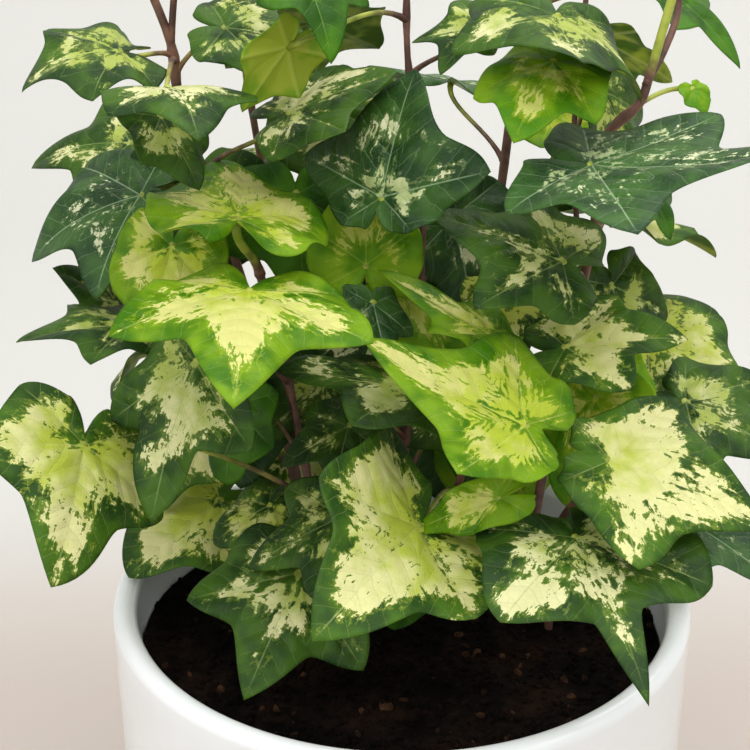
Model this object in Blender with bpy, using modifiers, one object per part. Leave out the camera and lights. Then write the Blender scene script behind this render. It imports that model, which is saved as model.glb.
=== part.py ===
# A potted variegated ivy: a glazed pot, its soil, nine stems with their leaf
# stalks, and the leaves, each as its own closed body.
#
# The pot stands on z = 0 with its foot centred on the origin.  +X is to the
# right seen from the front, +Y points away from the front and +Z is up.

import math

import bmesh
import bpy
from mathutils import Matrix, Vector

MM = 0.001

# Pot
POT_HEIGHT = 115 * MM
POT_RIM_RADIUS = 65 * MM
POT_FOOT_RADIUS = 62 * MM
POT_WALL = 5.4 * MM
POT_BASE = 7 * MM
POT_LIP_ROUND = 2.6 * MM
POT_FOOT_ROUND = 6 * MM
POT_INNER_ROUND = 5 * MM
POT_SEGMENTS = 56
ARC_STEPS = 4

# Soil
SOIL_BELOW_RIM = 12 * MM
SOIL_EDGE_DROP = 1.5 * MM
SOIL_FLAT_SHARE = 0.7
SOIL_SEGMENTS = 40
GAP = 0.3 * MM
SOCKET_SIDES = 10

# Stems and stalks
STALK_RADIUS = 0.75 * MM
STALK_STEPS = 4
STALK_REACH = 0.35
STALK_DROP = 2.1 * MM
STALK_RISE = 0.6
STALK_ARRIVAL = (0, -0.8, -0.6)
FORK_SHARE = 0.8
TUBE_RESOLUTION = 1
MERGE = 0.00005

# Leaves
LEAF_THICKNESS = 0.7 * MM
LEAF_RING = 0.55
CUP_SPAN = 0.7
STEPS_PER_SPAN = 2

# Leaf outlines.  Each row is an angle from the tip, the reach there as a share
# of the leaf's length and, for a lobe's tip, how pointed it is.
OUTLINES = {
    "classic": [
        (0, 1.0, 0.85),
        (30, 0.60),
        (55, 0.80, 0.6),
        (84, 0.52),
        (115, 0.52, 0.3),
        (150, 0.34),
        (180, 0.10),
    ],
    "broad": [
        (0, 1.0, 0.8),
        (32, 0.70),
        (54, 0.80, 0.5),
        (85, 0.62),
        (112, 0.60, 0.2),
        (150, 0.42),
        (180, 0.10),
    ],
    "arrow": [
        (0, 1.0, 0.9),
        (30, 0.50),
        (62, 0.66, 0.7),
        (90, 0.44),
        (122, 0.48, 0.3),
        (152, 0.30),
        (180, 0.10),
    ],
    "heart": [
        (0, 1.0, 0.5),
        (35, 0.78),
        (58, 0.78, 0.2),
        (85, 0.70),
        (115, 0.62, 0.1),
        (150, 0.42),
        (180, 0.10),
    ],
    "long": [
        (0, 1.0, 0.9),
        (26, 0.48),
        (55, 0.56, 0.7),
        (85, 0.36),
        (118, 0.36, 0.3),
        (150, 0.24),
        (180, 0.10),
    ],
    "fan": [
        (0, 1.0, 0.8),
        (38, 0.60),
        (70, 0.78, 0.5),
        (98, 0.46),
        (128, 0.38, 0.3),
        (155, 0.26),
        (180, 0.10),
    ],
    "wing": [
        (0, 1.0, 0.9),
        (34, 0.62),
        (62, 0.78, 0.4),
        (90, 0.60),
        (122, 0.66, 0.4),
        (152, 0.34),
        (180, 0.10),
    ],
    "tail": [
        (0, 1.0, 0.95),
        (13, 0.54),
        (52, 0.66, 0.4),
        (84, 0.50),
        (115, 0.48, 0.2),
        (150, 0.32),
        (180, 0.10),
    ],
    "spread": [
        (0, 1.0, 0.8),
        (38, 0.60),
        (72, 0.78, 0.5),
        (98, 0.60),
        (125, 0.62, 0.3),
        (155, 0.38),
        (180, 0.10),
    ],
}

# Stems: radius, then the runs of their centre lines, in millimetres with the
# height counted from the pot's rim.  A second run is a fork.
STEMS = {
    "stem_left_tall": (1.1, [
        [(-20, 14, -20), (-20, 14, -8), (-26, 16, 30), (-36, 20, 70),
         (-47, 22, 105), (-49, 22, 121), (-55, 22, 139), (-59, 20, 157)],
        [(-49, 22, 119), (-48, 22, 130), (-46, 23, 144), (-45, 24, 156)],
    ]),
    "stem_top_centre": (0.8, [
        [(-2, 16, -20), (-2, 16, -8), (1, 16, 30), (4, 14, 72),
         (4, 20, 95), (1, 28, 116), (1, 29, 138), (3, 30, 158)],
    ]),
    "stem_right_tall": (1.15, [
        [(28, 10, -20), (28, 10, -8), (33, 12, 30), (39, 14, 68), (41, 12, 83),
         (41, 12, 100), (44, 12, 106), (49, 12, 111), (51, 13, 117), (53, 14, 125),
         (55, 15, 133), (59, 17, 148)],
        [(50, 12, 115), (54, 16, 121), (57, 20, 129), (56, 21, 141), (52, 21, 153)],
    ]),
    "stem_right_thin": (0.7, [
        [(20, 20, -20), (20, 20, -8), (23, 20, 8), (31, 22, 32), (38, 22, 71),
         (37, 24, 93), (37, 24, 107), (38, 25, 123), (39, 26, 146)],
    ]),
    "stem_left_front": (0.9, [
        [(-16, 0, -20), (-16, 0, -8), (-20, 4, 20), (-25, 8, 48),
         (-29, 6, 68), (-31, 2, 80)],
    ]),
    "stem_centre_front": (0.9, [
        [(10, 18, -20), (10, 18, -8), (11, 8, 14), (13, -6, 34),
         (16, -13, 50), (17, -13, 62)],
    ]),
    "stem_right_front": (0.9, [
        [(34, 4, -20), (34, 4, -8), (33, -3, 10), (34, -14, 26),
         (38, -25, 40), (41, -29, 48)],
    ]),
    "stem_back_left": (0.9, [
        [(-8, 26, -20), (-8, 26, -8), (-16, 32, 30), (-28, 38, 70),
         (-34, 40, 105), (-36, 38, 135)],
    ]),
    "stem_back_right": (0.9, [
        [(10, 30, -20), (10, 30, -8), (16, 36, 30), (22, 46, 70),
         (26, 52, 105), (30, 52, 140)],
    ]),
}

# Leaves: outline, place of the stalk's joint (mm, height from the rim), length
# (mm), heading (0 towards the front, 90 to the right), pitch (tip up is
# positive), roll, droop of the tip, cup of the sides (degrees), width factor,
# then the stem and the height on it that the stalk grows from.
LEAVES = {
    "leaf_front_1": ("classic", (-31, -22, 84), 40, 0, 5, -5, 30, 10, 0.97,
                     "stem_left_front", 62),
    "leaf_front_2": ("fan", (24, -36, 61), 35, -102, 22, -11, -5, -7, 1.0,
                     "stem_centre_front", 50),
    "leaf_front_3": ("wing", (3, -38, 39), 37, -29, -4, -34, 18, -42, 0.9,
                     "stem_centre_front", 24),
    "leaf_front_4": ("classic", (-43, -18, 66), 34, -28, -45, 10, 15, 15, 0.85,
                     "stem_left_front", 48),
    "leaf_front_5": ("classic", (-13, -20, 31), 24, -85, -24, -20, 20, 5, 1.0,
                     "stem_centre_front", 10),
    "leaf_front_6": ("classic", (-22, -20, 17), 32, -25, -30, -15, 10, 10, 0.95,
                     "stem_left_front", 4),
    "leaf_front_7": ("tail", (34, -44, 40), 43, 19, -9, -2, 27, -3, 1.0,
                     "stem_right_front", 22),
    "leaf_front_8": ("broad", (3, -14, 58), 30, -89, 17, 6, 15, 16, 1.0,
                     "stem_centre_front", 40),
    "leaf_front_9": ("long", (18, -8, 68), 27, -117, 22, 6, 10, 10, 1.05,
                     "stem_centre_front", 60),
    "leaf_front_10": ("classic", (-6, -2, 72), 15, 17, -39, -24, 10, 10, 1.0,
                      "stem_top_centre", 46),
    "leaf_front_11": ("classic", (-12, -2, 43), 17, -80, -25, -25, 10, 10, 1.0,
                      "stem_top_centre", 30),
    "leaf_front_12": ("heart", (-37, 10, 42), 18, -30, -62, 15, 15, 10, 1.0,
                      "stem_left_front", 30),
    "leaf_left_1": ("spread", (-65.8, -22, 48.8), 32, -2, -29, -36, 28, 22, 0.95,
                    "stem_left_front", 20),
    "leaf_left_2": ("heart", (-34, -8, 94), 33, 180, 0, 10, 4, 22, 0.82,
                    "stem_left_front", 76),
    "leaf_left_3": ("classic", (-57.5, 24, 86.5), 33, -86, -14, -24, 40, 20, 0.95,
                    "stem_left_tall", 85),
    "leaf_left_4": ("heart", (-49, 5, 82), 21, -25, -58, -15, 10, 10, 0.85,
                    "stem_left_tall", 60),
    "leaf_left_5": ("classic", (-64, 25, 60), 17, -70, 43, -35, 20, 10, 1.0,
                    "stem_left_tall", 55),
    "leaf_left_6": ("classic", (-59, 5, 64), 24, -75, 8, 0, 20, 10, 1.0,
                    "stem_left_tall", 48),
    "leaf_left_7": ("heart", (-42, 19, 13), 27, -50, -15, -5, 10, 10, 1.1,
                    "stem_left_tall", 2),
    "leaf_left_8": ("heart", (-30, 4, 20), 15, -72, -20, -5, 20, 10, 1.0,
                    "stem_left_tall", 6),
    "leaf_left_9": ("arrow", (-62, 48, 90), 30, -100, 0, -28, 50, 10, 0.9,
                    "stem_back_left", 78),
    "leaf_left_10": ("broad", (-59, 15, 122), 24, -63, 13, -10, 60, 10, 0.95,
                     "stem_left_tall", 118),
    "leaf_top_1": ("fan", (-5, 0, 95), 29, 158, 61, -18, 11, 11, 1.15,
                   "stem_top_centre", 86),
    "leaf_top_2": ("broad", (-47, -6, 121), 27, 21, 21, -5, 60, 20, 0.85,
                   "stem_left_tall", 117),
    "leaf_top_3": ("broad", (-50, 8, 110), 18, 45, -40, -7, 20, 20, 0.9,
                   "stem_left_tall", 95),
    "leaf_top_4": ("broad", (-37, 18, 126), 20, 90, -5, 18, 22, 12, 1.0,
                   "stem_left_tall", 114),
    "leaf_top_5": ("classic", (-21, 8, 142), 22, 30, -35, -12, 20, 0, 1.0,
                   "stem_top_centre", 132),
    "leaf_top_6": ("broad", (-24, 4, 126), 16, -73, -48, 62, 15, 16, 1.05,
                   "stem_top_centre", 124),
    "leaf_top_7": ("broad", (-24, 14, 109), 24, 90, 25, 9, 10, 10, 1.05,
                   "stem_left_tall", 92),
    "leaf_top_8": ("classic", (16, 16, 127), 17, -108, -10, -27, 16, 12, 0.95,
                   "stem_top_centre", 112),
    "leaf_top_9": ("broad", (30, 2, 124), 27, -22, -12, -5, 20, 40, 0.75,
                   "stem_right_thin", 110),
    "leaf_top_10": ("spread", (31, 6, 132), 29, 4, -9, -16, -12, 48, 1.1,
                    "stem_right_thin", 124),
    "leaf_top_11": ("heart", (34, 44, 98), 18, 45, -16, 0, 10, 10, 1.0,
                    "stem_back_right", 92),
    "leaf_top_12": ("arrow", (58, 36, 128.5), 22, 66, -30, 0, 22, 8, 1.0,
                    "stem_back_right", 118),
    "leaf_top_13": ("heart", (-8, 9, 76), 20, 180, 60, -5, 0, -10, 0.9,
                    "stem_top_centre", 48),
    "leaf_right_1": ("classic", (37, -12, 107), 41, 66, 4, 3, -16, 4, 1.1,
                     "stem_right_tall", 94),
    "leaf_right_2": ("classic", (33, -5, 83), 30, -98, 23, -21, 15, 15, 1.0,
                     "stem_right_tall", 70),
    "leaf_right_3": ("classic", (34, -6, 64), 27, 88, 13, 18, 15, 0, 0.85,
                     "stem_right_tall", 54),
    "leaf_right_4": ("fan", (41, -36, 53), 38, 78, -11, 17, 20, 10, 0.85,
                     "stem_right_front", 40),
    "leaf_right_5": ("heart", (57, 34, 49), 25, 61, -16, 13, 8, 14, 1.1,
                     "stem_back_right", 48),
    "leaf_right_6": ("classic", (63, 10, 43), 26, 63, -14, 20, 15, 10, 1.0,
                     "stem_right_tall", 26),
    "leaf_right_7": ("classic", (65, 10, 13), 28, 48, -8, -3, 15, 10, 1.0,
                     "stem_right_tall", 4),
    "leaf_right_8": ("broad", (41, -3, 50), 24, -43, -62, 10, 10, 10, 1.0,
                     "stem_right_tall", 56),
    "leaf_back_1": ("spread", (-16, 62, 84), 36, 195, -10, 0, 20, 10, 1.0,
                    "stem_back_left", 70),
    "leaf_back_2": ("classic", (12, 66, 99), 38, 165, -15, 5, 20, 10, 1.0,
                    "stem_back_right", 84),
    "leaf_back_3": ("broad", (48, 46, 74), 34, 140, -20, 0, 15, 10, 1.0,
                    "stem_back_right", 60),
    "leaf_back_4": ("classic", (-50, 51, 57), 34, -140, -20, 0, 15, 10, 1.0,
                    "stem_back_left", 44),
    "leaf_back_5": ("spread", (0, 61, 50), 38, 180, -35, 0, 15, 10, 1.0,
                    "stem_back_left", 30),
}

# Materials: colour, roughness, metallic.
GLAZE = ("white_glaze", (0.86, 0.87, 0.87), 0.25, 0.0)
EARTH = ("potting_soil", (0.02, 0.012, 0.008), 0.95, 0.0)
BARK = ("stem_skin", (0.18, 0.09, 0.05), 0.6, 0.0)
LEAF_GREEN = ("leaf_skin", (0.16, 0.32, 0.05), 0.45, 0.0)


def clear_scene():
    for obj in list(bpy.data.objects):
        bpy.data.objects.remove(obj, do_unlink=True)
    for group in list(bpy.data.collections):
        bpy.data.collections.remove(group)


def make_collection(name):
    group = bpy.data.collections.new(name)
    bpy.context.scene.collection.children.link(group)
    return group


def make_material(obj, finish):
    name, colour, roughness, metallic = finish
    material = bpy.data.materials.new(f"{obj.name}_{name}")
    material.use_nodes = True
    shader = material.node_tree.nodes["Principled BSDF"]
    shader.inputs["Base Color"].default_value = (*colour, 1.0)
    shader.inputs["Roughness"].default_value = roughness
    shader.inputs["Metallic"].default_value = metallic
    obj.data.materials.clear()
    obj.data.materials.append(material)


def object_from_bmesh(name, bm, group):
    mesh = bpy.data.meshes.new(name)
    bm.to_mesh(mesh)
    bm.free()
    obj = bpy.data.objects.new(name, mesh)
    group.objects.link(obj)
    return obj


def arc(centre_x, centre_z, radius, start, end):
    """Points of a round corner, angles in degrees."""
    points = []
    for i in range(ARC_STEPS + 1):
        angle = math.radians(start + (end - start) * i / ARC_STEPS)
        points.append((centre_x + radius * math.cos(angle),
                       centre_z + radius * math.sin(angle)))
    return points


def turned(name, profile, segments, group):
    """A body of revolution from a profile running top to bottom outside."""
    bm = bmesh.new()
    verts = [bm.verts.new((x, 0, z)) for x, z in profile]
    for a, b in zip(verts, verts[1:]):
        bm.edges.new((a, b))
    obj = object_from_bmesh(name, bm, group)
    screw = obj.modifiers.new("turn", "SCREW")
    screw.axis = "Z"
    screw.steps = segments
    screw.render_steps = segments
    screw.use_merge_vertices = True
    screw.merge_threshold = MERGE
    screw.use_normal_calculate = False
    return obj


def pot_profile():
    slope = (POT_RIM_RADIUS - POT_FOOT_RADIUS) / POT_HEIGHT
    lip_x = POT_RIM_RADIUS - POT_LIP_ROUND
    lip_z = POT_HEIGHT - POT_LIP_ROUND
    inner_top = POT_RIM_RADIUS - POT_WALL
    inner_foot = POT_FOOT_RADIUS - POT_WALL
    profile = [(inner_top + POT_LIP_ROUND, POT_HEIGHT)]
    profile += arc(lip_x, lip_z, POT_LIP_ROUND, 90, 0)
    foot_x = POT_FOOT_RADIUS + slope * POT_FOOT_ROUND
    profile += arc(foot_x - POT_FOOT_ROUND, POT_FOOT_ROUND, POT_FOOT_ROUND, 0, -90)
    profile.append((0, 0))
    profile.append((0, POT_BASE))
    floor = arc(inner_foot - POT_INNER_ROUND, POT_BASE + POT_INNER_ROUND,
                POT_INNER_ROUND, -90, 0)
    profile += floor
    profile += arc(inner_top + POT_LIP_ROUND, lip_z, POT_LIP_ROUND, 180, 90)
    clean = [profile[0]]
    for point in profile[1:]:
        if math.dist(point, clean[-1]) > MERGE:
            clean.append(point)
    if math.dist(clean[0], clean[-1]) <= MERGE:
        clean.pop()
    clean.append(clean[0])
    return clean


def inner_radius(height):
    """Radius of the pot's hollow at a height above the floor it stands on."""
    floor_z = POT_BASE + POT_INNER_ROUND
    top_z = POT_HEIGHT - POT_LIP_ROUND
    share = (height - floor_z) / (top_z - floor_z)
    low = POT_FOOT_RADIUS - POT_WALL
    high = POT_RIM_RADIUS - POT_WALL
    return low + (high - low) * share


def soil_profile():
    top = POT_HEIGHT - SOIL_BELOW_RIM
    edge = top - SOIL_EDGE_DROP
    round_z = POT_BASE + POT_INNER_ROUND
    low = inner_radius(round_z) - GAP
    profile = [(0, top), (inner_radius(top) * SOIL_FLAT_SHARE, top)]
    profile.append((inner_radius(edge) - GAP, edge))
    profile.append((low, round_z))
    profile += arc(low - POT_INNER_ROUND, round_z + GAP, POT_INNER_ROUND, 0, -90)
    profile.append((0, POT_BASE + GAP))
    return profile


def subtract(obj, cutter):
    cut = obj.modifiers.new("cut", "BOOLEAN")
    cut.operation = "DIFFERENCE"
    cut.solver = "EXACT"
    cut.object = cutter


def tube(name, points, radius, group):
    """A round tube through points, as a closed mesh."""
    curve = bpy.data.curves.new(name, "CURVE")
    curve.dimensions = "3D"
    curve.bevel_depth = radius
    curve.bevel_resolution = TUBE_RESOLUTION
    curve.use_fill_caps = True
    spline = curve.splines.new("POLY")
    spline.points.add(len(points) - 1)
    for slot, point in zip(spline.points, points):
        slot.co = (*point, 1.0)
    maker = bpy.data.objects.new(name, curve)
    group.objects.link(maker)
    bpy.context.view_layer.update()
    graph = bpy.context.evaluated_depsgraph_get()
    mesh = bpy.data.meshes.new_from_object(maker.evaluated_get(graph))
    bpy.data.objects.remove(maker, do_unlink=True)
    bm = bmesh.new()
    bm.from_mesh(mesh)
    bpy.data.meshes.remove(mesh)
    bmesh.ops.remove_doubles(bm, verts=bm.verts, dist=MERGE)
    bmesh.ops.recalc_face_normals(bm, faces=bm.faces)
    return object_from_bmesh(name, bm, group)


def from_rim(point):
    x, y, z = point
    return Vector((x * MM, y * MM, POT_HEIGHT + z * MM))


def rounded_route(points):
    """The points of a run with one more between each pair, on a smooth bend."""
    route = [points[0]]
    last = len(points) - 1
    for i in range(last):
        before = points[max(i - 1, 0)]
        after = points[min(i + 2, last)]
        near = points[i] + points[i + 1]
        route.append((near * 9 - before - after) / 16)
        route.append(points[i + 1])
    return route


def point_at_height(route, height):
    for a, b in zip(route, route[1:]):
        if a.z <= height <= b.z:
            return a.lerp(b, (height - a.z) / (b.z - a.z))
    return route[-1].copy()


def reach(style, angle):
    """Share of the leaf's length that its outline reaches at an angle."""
    spans = zip(OUTLINES[style], OUTLINES[style][1:])
    for start, end in spans:
        if angle > end[0]:
            continue
        share = (angle - start[0]) / (end[0] - start[0])
        lobe_first = len(start) == 3
        if lobe_first:
            share = 1 - share
        lobe, valley = (start, end) if lobe_first else (end, start)
        smooth = (1 - math.cos(math.pi * share)) / 2
        if len(lobe) == 2:
            return valley[1] + (lobe[1] - valley[1]) * smooth
        point = lobe[2]
        rise = (1 - point) * smooth + point * share ** 1.5
        return valley[1] + (lobe[1] - valley[1]) * rise
    return OUTLINES[style][-1][1]


def outline_angles(style):
    """Angles of the outline's points, all round from the notch."""
    side = []
    for start, end in zip(OUTLINES[style], OUTLINES[style][1:]):
        for i in range(STEPS_PER_SPAN):
            side.append(start[0] + (end[0] - start[0]) * i / STEPS_PER_SPAN)
    return [-180.0] + [-a for a in reversed(side)] + side[1:]


def bent(x, y, length, droop, cup):
    """A flat leaf's point after the sides are cupped and the tip droops."""
    z = 0.0
    if cup:
        rate = math.radians(cup) / (CUP_SPAN * length)
        z = (math.cos(rate * x) - 1) / rate
        x = math.sin(rate * x) / rate
    if droop:
        radius = length / math.radians(droop)
        angle = y / radius
        y = (radius + z) * math.sin(angle)
        z = (radius + z) * math.cos(angle) - radius
    return Vector((x, y, z))


def leaf_turn(heading, pitch, roll):
    turn = Matrix.Rotation(math.radians(180 + heading), 4, "Z")
    turn @= Matrix.Rotation(math.radians(pitch), 4, "X")
    turn @= Matrix.Rotation(math.radians(roll), 4, "Y")
    return turn


def make_leaf(name, spec, group):
    style, place, length_mm, heading, pitch, roll, droop, cup, width = spec[:9]
    length = length_mm * MM
    bm = bmesh.new()
    centre = bm.verts.new((0, 0, 0))
    rings = []
    for share in (LEAF_RING, 1.0):
        ring = []
        for angle in outline_angles(style):
            out = reach(style, abs(angle)) * length * share
            x = math.sin(math.radians(angle)) * out * width
            y = math.cos(math.radians(angle)) * out
            ring.append(bm.verts.new(bent(x, y, length, droop, cup)))
        rings.append(ring)
    inner, outer = rings
    for i in range(len(inner)):
        j = (i + 1) % len(inner)
        bm.faces.new((centre, inner[j], inner[i]))
        bm.faces.new((inner[i], inner[j], outer[j], outer[i]))
    bmesh.ops.recalc_face_normals(bm, faces=bm.faces)
    bm.normal_update()
    if centre.normal.z < 0:
        bmesh.ops.reverse_faces(bm, faces=bm.faces)
    bmesh.ops.triangulate(bm, faces=bm.faces)
    obj = object_from_bmesh(name, bm, group)
    thick = obj.modifiers.new("thickness", "SOLIDIFY")
    thick.thickness = LEAF_THICKNESS
    thick.offset = -1.0
    obj.location = from_rim(place)
    obj.rotation_euler = leaf_turn(heading, pitch, roll).to_euler()
    return obj


def stalk_route(start, spec):
    """A leaf's stalk: out of the stem and up under the leaf's joint."""
    turn = leaf_turn(*spec[3:6]).to_3x3()
    under = Vector((0, 0, -STALK_DROP))
    end = from_rim(spec[1]) + turn @ under
    span = (end - start).length * STALK_REACH
    behind = (turn @ Vector(STALK_ARRIVAL)).normalized()
    away = (end - start).normalized()
    leave = (away + Vector((0, 0, STALK_RISE))).normalized()
    knots = (start, start + leave * span, end + behind * span, end)
    route = []
    for i in range(STALK_STEPS + 1):
        t = i / STALK_STEPS
        weights = ((1 - t) ** 3, 3 * t * (1 - t) ** 2, 3 * t * t * (1 - t), t ** 3)
        route.append(sum((k * w for k, w in zip(knots, weights)), Vector()))
    return route


def make_stem(name, radius_mm, runs, group, tools):
    """One stem with its fork and all of its leaf stalks as one body."""
    radius = radius_mm * MM
    routes = [rounded_route([from_rim(p) for p in run]) for run in runs]
    stem = tube(name, routes[0], radius, group)
    pieces = [tube(f"{name}_fork", r, radius * FORK_SHARE, tools) for r in routes[1:]]
    for leaf, spec in LEAVES.items():
        if spec[9] != name:
            continue
        start = point_at_height(routes[0], POT_HEIGHT + spec[10] * MM)
        pieces.append(tube(f"{leaf}_stalk", stalk_route(start, spec),
                           STALK_RADIUS, tools))
    for piece in pieces:
        join = stem.modifiers.new("join", "BOOLEAN")
        join.operation = "UNION"
        join.solver = "EXACT"
        join.object = piece
    return stem


def make_socket(stem_name, group):
    """The hole in the soil that a stem is planted in."""
    radius_mm, runs = STEMS[stem_name]
    foot = from_rim(runs[0][0])
    top = POT_HEIGHT - SOIL_BELOW_RIM + POT_LIP_ROUND
    bottom = foot.z - GAP
    bm = bmesh.new()
    bmesh.ops.create_cone(
        bm,
        cap_ends=True,
        segments=SOCKET_SIDES,
        radius1=radius_mm * MM + 2 * GAP,
        radius2=radius_mm * MM + 2 * GAP,
        depth=top - bottom,
        matrix=Matrix.Translation((foot.x, foot.y, (top + bottom) / 2)),
    )
    return object_from_bmesh(f"{stem_name}_socket", bm, group)


def main():
    clear_scene()
    group = make_collection("potted_ivy")
    tools = make_collection("cutters")

    pot = turned("pot", pot_profile(), POT_SEGMENTS, group)
    make_material(pot, GLAZE)

    soil = turned("soil", soil_profile(), SOIL_SEGMENTS, group)
    make_material(soil, EARTH)
    for name in STEMS:
        subtract(soil, make_socket(name, tools))

    for name, (radius_mm, runs) in STEMS.items():
        make_material(make_stem(name, radius_mm, runs, group, tools), BARK)

    for name, spec in LEAVES.items():
        make_material(make_leaf(name, spec, group), LEAF_GREEN)

    for cutter in tools.objects:
        cutter.hide_render = True
        cutter.display_type = "WIRE"


main()
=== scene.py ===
import math

import bpy
import numpy as np
from mathutils import Matrix, Vector


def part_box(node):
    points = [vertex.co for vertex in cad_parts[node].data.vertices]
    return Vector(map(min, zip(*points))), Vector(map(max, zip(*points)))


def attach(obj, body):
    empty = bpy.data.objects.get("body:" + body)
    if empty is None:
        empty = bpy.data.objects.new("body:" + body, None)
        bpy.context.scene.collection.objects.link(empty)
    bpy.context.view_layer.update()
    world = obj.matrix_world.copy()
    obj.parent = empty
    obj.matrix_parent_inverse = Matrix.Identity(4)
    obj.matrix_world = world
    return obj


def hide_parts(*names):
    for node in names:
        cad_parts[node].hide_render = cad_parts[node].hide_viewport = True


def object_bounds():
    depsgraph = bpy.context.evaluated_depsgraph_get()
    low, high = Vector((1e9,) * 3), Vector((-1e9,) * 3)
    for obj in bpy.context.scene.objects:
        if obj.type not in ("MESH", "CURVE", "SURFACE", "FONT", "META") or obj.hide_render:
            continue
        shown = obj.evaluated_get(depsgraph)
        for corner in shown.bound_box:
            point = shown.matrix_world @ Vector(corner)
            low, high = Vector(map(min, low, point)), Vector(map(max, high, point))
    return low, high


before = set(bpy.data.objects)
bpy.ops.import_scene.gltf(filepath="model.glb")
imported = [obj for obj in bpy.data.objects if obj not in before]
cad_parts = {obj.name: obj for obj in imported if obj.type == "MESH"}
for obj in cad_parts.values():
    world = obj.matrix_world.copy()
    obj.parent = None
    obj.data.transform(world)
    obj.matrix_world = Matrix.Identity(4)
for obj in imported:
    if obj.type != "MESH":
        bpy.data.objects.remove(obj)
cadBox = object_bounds()
print("frame loaded")

mm = 0.001
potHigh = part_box("pot")[1]
rimHeight = potHigh[2]
rimRadius = potHigh[0]
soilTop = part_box("soil")[1][2]
scene = bpy.context.scene


# Colour and node helpers

def linear(hexColour):
    parts = [int(hexColour[i:i + 2], 16) / 255 for i in (1, 3, 5)]
    curved = [c / 12.92 if c <= 0.04045 else ((c + 0.055) / 1.055) ** 2.4 for c in parts]
    return (*curved, 1.0)


def newMaterial(name):
    material = bpy.data.materials.new(name)
    material.use_nodes = True
    material.node_tree.nodes.clear()
    return material, material.node_tree


# Adds a node and gives back its outputs. Each input is a value, or an output to link.
def addNode(tree, kind, settings=None, inputs=()):
    node = tree.nodes.new(kind)
    for key, value in (settings or {}).items():
        setattr(node, key, value)
    for key, value in inputs.items() if isinstance(inputs, dict) else enumerate(inputs):
        if isinstance(value, bpy.types.NodeSocket):
            tree.links.new(value, node.inputs[key])
        else:
            node.inputs[key].default_value = value
    return node.outputs


smoothStep = {"interpolation_type": "SMOOTHSTEP"}
multiply = {"operation": "MULTIPLY"}
rgba = {"data_type": "RGBA"}


# A start value plus each (output, factor) pair
def weighted(tree, total, *terms):
    for value, factor in terms:
        total = addNode(tree, "ShaderNodeMath", {"operation": "MULTIPLY_ADD"},
                        (value, factor, total))[0]
    return total


# The first colour where the value is under low, the second where it is over high
def twoTone(tree, value, low, high, first, second):
    share = addNode(tree, "ShaderNodeMapRange", smoothStep, (value, low, high))[0]
    return addNode(tree, "ShaderNodeMix", rgba, {0: share, 6: first, 7: second})[2]


# 1 where the value is under low and 0 where it is over high, as a vein fades sideways
def softLine(tree, value, low, high):
    rise = addNode(tree, "ShaderNodeMapRange", smoothStep, (value, low, high))[0]
    return addNode(tree, "ShaderNodeMath", {"operation": "SUBTRACT", "use_clamp": True},
                   (1.0, rise))[0]


# Ends a material with its surface
def finishSurface(tree, inputs):
    shader = addNode(tree, "ShaderNodeBsdfPrincipled", {}, inputs)[0]
    addNode(tree, "ShaderNodeOutputMaterial", {}, (shader,))


# The mask whole where the value is over high, and gone where it is under low
def keepAbove(tree, mask, value, low, high):
    rise = addNode(tree, "ShaderNodeMapRange", smoothStep, (value, low, high))[0]
    return addNode(tree, "ShaderNodeMath", multiply, (mask, rise))[0]


# Leaf looks. dark and light are the two greens, pale and paler the patches near the
# joint and further out. start is how far in (share of the deep band) the patches
# begin, feather, patchy and fleck how much streaks, broad clouds and small specks
# push their edge, hug how much they keep to the main veins.

looks = {
    "lime": {"dark": "#457A08", "light": "#80A818", "pale": "#C2D23C", "paler": "#E4E18E",
             "start": 0.60, "feather": 2.3, "patchy": 2.0, "fleck": 1.1, "hug": 0.075,
             "rough": 0.42, "glow": 0.30, "vein": "#DDE38A", "veinShare": 0.35},
    "cream": {"dark": "#2A4C18", "light": "#4C741C", "pale": "#BECB48", "paler": "#E8E5A4",
              "start": 0.56, "feather": 1.8, "patchy": 2.4, "fleck": 1.8, "hug": 0.03,
              "rough": 0.46, "glow": 0.25, "vein": "#CFD68A", "veinShare": 0.35},
    "mixed": {"dark": "#223F16", "light": "#43661C", "pale": "#AAB855", "paler": "#E0DEA6",
              "start": 0.84, "feather": 1.8, "patchy": 2.9, "fleck": 1.6, "hug": 0.02,
              "rough": 0.42, "glow": 0.18, "vein": "#9CB068", "veinShare": 0.4},
    "dark": {"dark": "#1F3C1A", "light": "#375A22", "pale": "#A0AE72", "paler": "#DAD9B0",
             "start": 1.20, "feather": 2.0, "patchy": 3.0, "fleck": 1.4, "hug": 0.0,
             "rough": 0.38, "glow": 0.08, "vein": "#96AC84", "veinShare": 0.55},
    "flecked": {"dark": "#213F1E", "light": "#3B5F28", "pale": "#9FB07A", "paler": "#D5D7B0",
                "start": 1.34, "feather": 2.6, "patchy": 1.6, "fleck": 2.8, "hug": 0.0,
                "rough": 0.38, "glow": 0.06, "vein": "#9DB48C", "veinShare": 0.6},
    "plain": {"dark": "#2C5812", "light": "#4A7E14", "pale": "#6FA02C", "paler": "#9CBE4E",
              "start": 1.35, "feather": 1.6, "patchy": 2.4, "fleck": 0.8, "hug": 0.0,
              "rough": 0.42, "glow": 0.22, "vein": "#86AC4C", "veinShare": 0.4},
    "young": {"dark": "#528C0E", "light": "#8AB41A", "pale": "#BCC93C", "paler": "#DCE07C",
              "start": 0.95, "feather": 1.6, "patchy": 1.8, "fleck": 0.6, "hug": 0.02,
              "rough": 0.45, "glow": 0.30, "vein": "#CBD460", "veinShare": 0.3},
}

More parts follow.
